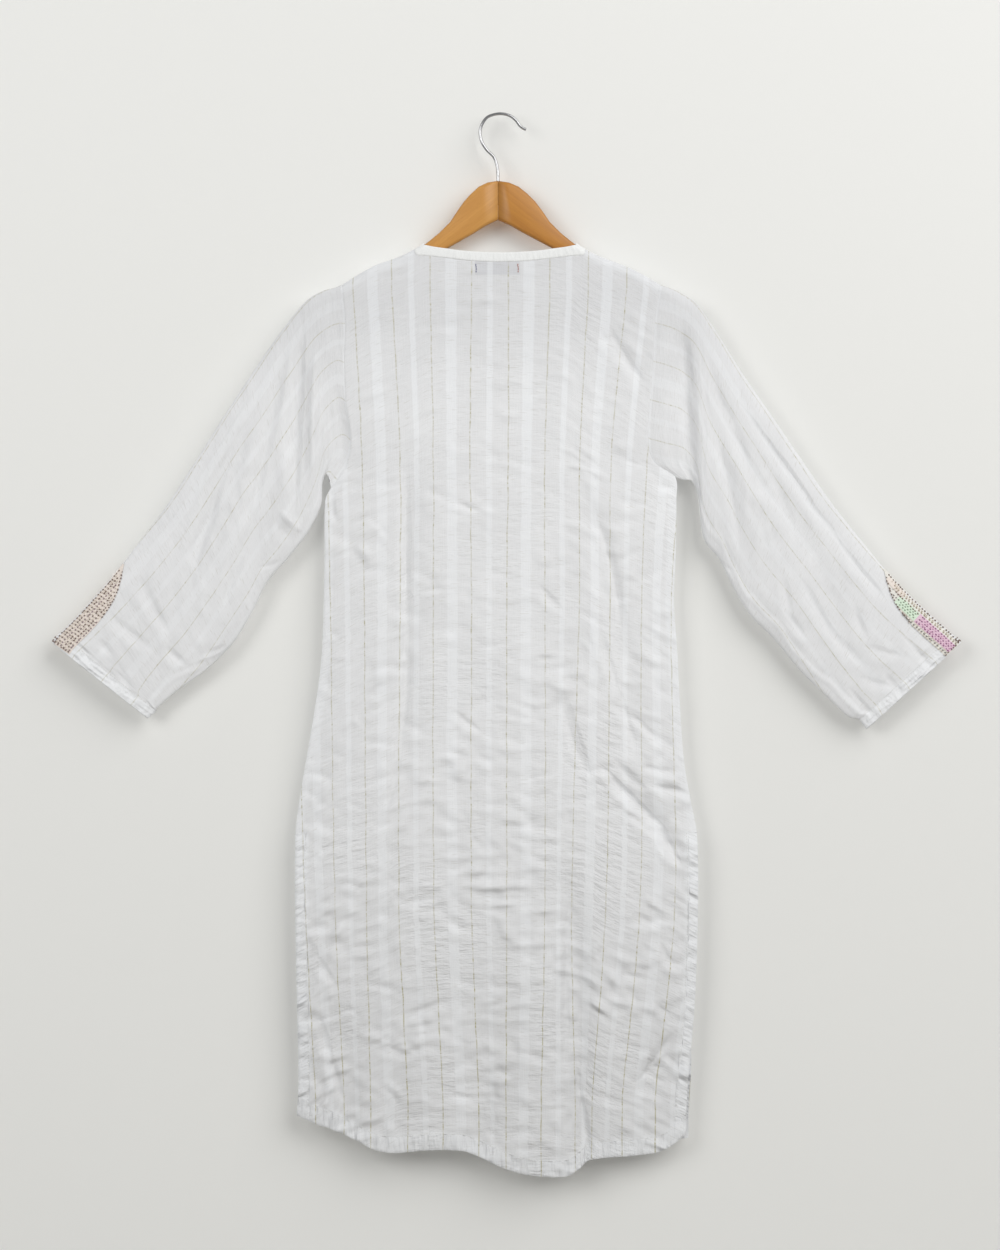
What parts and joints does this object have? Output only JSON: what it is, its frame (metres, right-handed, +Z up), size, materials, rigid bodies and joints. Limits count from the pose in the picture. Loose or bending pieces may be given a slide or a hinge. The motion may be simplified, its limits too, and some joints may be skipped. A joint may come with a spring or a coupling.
{
  "type": "kurta tunic on a wooden hanger",
  "caption": "Long white striped cotton kurta tunic with long sleeves, curved hem and side slits, hung flat from a wooden hanger with a wire hook.",
  "frame": {"origin": "inner crown of the hook, where a rail carries it", "axes": "+Z up, +X to the right as the garment's back is seen, +Y from the garment's back to its front"},
  "size_m": [1.0943, 0.0403, 1.277],
  "materials": {
    "cloth": "light, slightly sheer white cotton with denser white stripes and fine gold threads",
    "binding": "plain white folded cotton",
    "label": "plain woven tape, bare",
    "wood_light": "clear satin lacquer on light wood",
    "wood_warm": "clear satin lacquer on warmer wood",
    "wire": "bright plated wire"
  },
  "bodies": {
    "root": {"back_panel": "cloth", "front_panel": "cloth", "sleeve_left": "cloth", "sleeve_right": "cloth", "neck_binding": "binding", "neck_label": "label", "hanger_arm_left": "wood_light", "hanger_arm_right": "wood_warm", "hanger_hook": "wire"}
  },
  "joints": []
}
